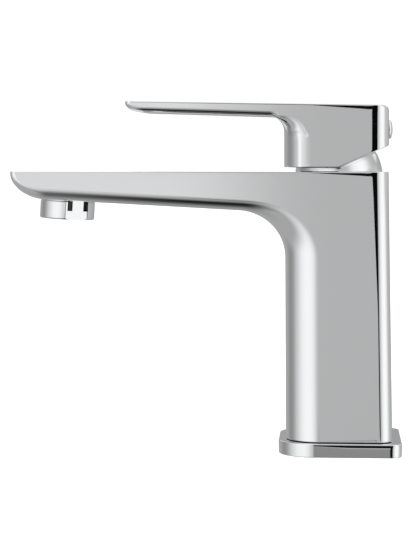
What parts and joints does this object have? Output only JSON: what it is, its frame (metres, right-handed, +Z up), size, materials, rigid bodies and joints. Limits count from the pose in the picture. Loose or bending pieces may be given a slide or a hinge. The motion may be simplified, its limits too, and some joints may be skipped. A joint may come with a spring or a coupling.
{
  "type": "basin mixer faucet",
  "caption": "Single-lever basin mixer: column with straight spout, D-shaped base plate, block handle with a forward lever, ceramic cartridge and aerator.",
  "frame": {"origin": "centre of the deck hole, on the deck surface that the base plate rests on", "axes": "+Z up along the column, the spout points along -Y, +X is to the right of a person facing the spout's back"},
  "size_m": [0.054, 0.1748, 0.1575],
  "materials": {
    "chrome_body": "polished chrome plate on brass",
    "chrome_plate": "polished chrome plate on brass",
    "chrome_handle": "polished chrome plate on zinc",
    "chrome_cap": "polished chrome plate",
    "chrome_aerator": "polished chrome plate on brass",
    "rubber": "matte black rubber",
    "brass": "machined brass",
    "steel": "stainless steel",
    "ceramic": "lapped alumina ceramic",
    "cartridge_plastic": "moulded plastic",
    "carrier_plastic": "moulded plastic",
    "blue_plastic": "moulded plastic",
    "red_plastic": "moulded plastic",
    "green_plastic": "moulded plastic",
    "grey_plastic": "moulded plastic"
  },
  "bodies": {
    "mixer": {"faucet_body": "chrome_body", "base_plate": "chrome_plate", "deck_gasket": "rubber", "column_seal": "rubber", "cartridge_nut": "brass", "nut_o_ring": "rubber", "dome_cap": "chrome_cap", "cartridge_housing": "cartridge_plastic", "cartridge_base": "cartridge_plastic", "port_seals": "rubber", "disc_seals": "rubber", "fixed_disc": "ceramic", "temperature_limiter": "red_plastic", "aerator_housing": "chrome_aerator", "aerator_washer": "rubber", "aerator_screen": "steel", "flow_regulator": "green_plastic", "aerator_insert": "grey_plastic"},
    "turner": {"cartridge_turner": "blue_plastic", "stem_pin": "steel"},
    "lever": {"control_stem": "brass", "handle": "chrome_handle", "handle_set_screw": "steel", "screw_cap": "chrome_cap"},
    "sliding_disc": {"disc_carrier": "carrier_plastic", "moving_disc": "ceramic"}
  },
  "joints": [
    {"name": "temperature_turn", "type": "hinge", "parent": "mixer", "child": "turner", "pos_m": [0, 0, 0.1243], "axis": [0, 0, 1], "range_deg": [-45, 45]},
    {"name": "lever_lift", "type": "hinge", "parent": "turner", "child": "lever", "pos_m": [0, 0, 0.1243], "axis": [-1, 0, 0], "range_deg": [0, 22]},
    {"name": "disc_slide", "type": "slide", "parent": "turner", "child": "sliding_disc", "axis": [0, -1, 0], "range_m": [0, 0.0033]}
  ],
  "couplings": [
    {"joint": "disc_slide", "follows": "lever_lift", "m_per_rad": 0.0085}
  ]
}
